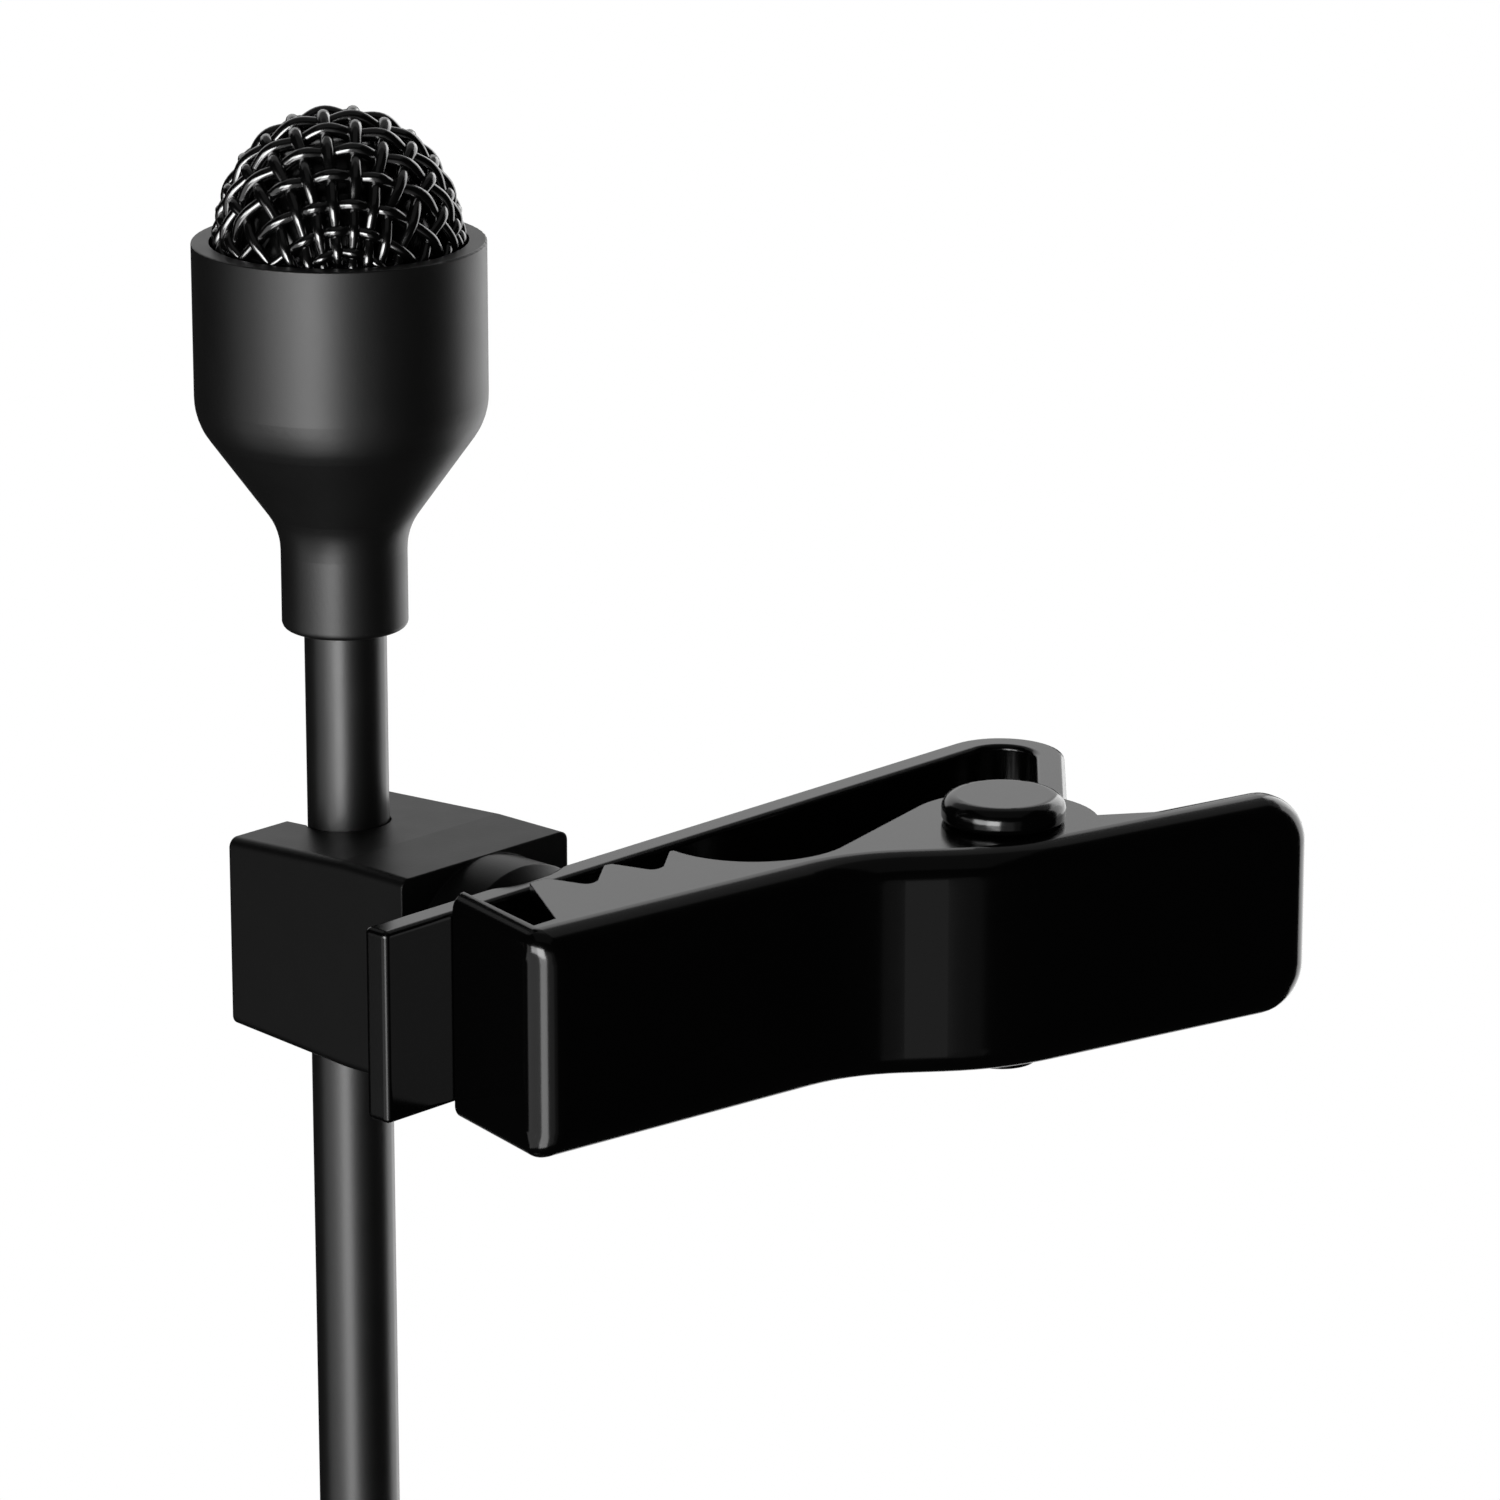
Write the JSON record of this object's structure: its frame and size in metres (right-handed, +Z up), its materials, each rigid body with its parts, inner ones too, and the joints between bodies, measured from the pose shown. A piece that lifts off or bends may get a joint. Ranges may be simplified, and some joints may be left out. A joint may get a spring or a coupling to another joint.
{
  "type": "lavalier microphone with clip",
  "caption": "Small lavalier microphone with a wire mesh dome, held by its cable in a swivelling spring clip with a sawtooth jaw, on a coiled lead with a straight jack plug.",
  "frame": {"origin": "centre of the jaw's grip on the garment, on the plate's front face at mid-height, on the axis of the holder's swivel", "axes": "+Z up along the microphone, +X along the clip from the jaw's tip to its pivot, +Y from the clip to the cable, away from the jaw"},
  "size_m": [0.0443, 0.0344, 0.1544],
  "materials": {
    "clip_plastic": "gloss, moulded black",
    "holder_plastic": "satin, moulded black",
    "black_paint": "satin black lacquer",
    "black_wire": "gloss black coated woven wire",
    "steel": "plain",
    "nylon": "natural",
    "dust_cloth": "fine black gauze",
    "black_rubber": "matt",
    "capsule_metal": "plain",
    "black_felt": "felt",
    "brass": "plain",
    "film": "metallised film",
    "chip_epoxy": "matt",
    "circuit_board": "solder mask",
    "solder": "bright",
    "hot_insulation": "red insulation",
    "ground_insulation": "white insulation",
    "cable_jacket": "semi-gloss black jacket",
    "tie_fabric": "hook-and-loop strap",
    "contact_metal": "nickel plated"
  },
  "bodies": {
    "clip_frame": {"clip_frame": "clip_plastic", "pivot_pin": "clip_plastic", "pin_washer": "steel", "torsion_spring": "steel", "swivel_washer": "nylon"},
    "clip_lever": {"clip_lever": "clip_plastic"},
    "cable_holder": {"cable_holder": "holder_plastic", "swivel_pin": "steel"},
    "microphone": {"head_housing": "black_paint", "grille_ring": "black_paint", "grille_mesh": "black_wire", "dust_screen": "dust_cloth", "capsule_boot": "black_rubber", "capsule_can": "capsule_metal", "capsule_felt": "black_felt", "diaphragm_ring": "brass", "diaphragm": "film", "spacer_ring": "nylon", "back_plate": "brass", "plate_holder": "nylon", "gate_ring": "brass", "fet_chip": "chip_epoxy", "capsule_board": "circuit_board", "solder_joints": "solder", "hot_lead": "hot_insulation", "ground_lead": "ground_insulation", "cable_ferrule": "steel", "neck_bush": "black_rubber", "cable": "cable_jacket", "cable_coil": "cable_jacket", "cable_tail": "cable_jacket", "coil_tie": "tie_fabric", "plug_relief": "cable_jacket", "plug_body": "holder_plastic", "plug_sleeve": "contact_metal", "plug_ring": "contact_metal", "plug_tip": "contact_metal", "plug_insulators": "chip_epoxy", "plug_core": "nylon"}
  },
  "joints": [
    {"name": "jaw_open", "type": "hinge", "parent": "clip_frame", "child": "clip_lever", "pos_m": [0.0144, -0.00778, 0], "axis": [0, 0, 1], "range_deg": [0, 25], "stiffness_Nm_per_rad": 0.03, "springref_deg": -34.38, "deforming": ["torsion_spring"]},
    {"name": "holder_swivel", "type": "hinge", "parent": "clip_frame", "child": "cable_holder", "pos_m": [0, 0, 0], "axis": [0, 1, 0], "continuous": true},
    {"name": "cable_slide", "type": "slide", "parent": "cable_holder", "child": "microphone", "axis": [0, 0, 1], "range_m": [-0.0065, 0.012]}
  ]
}
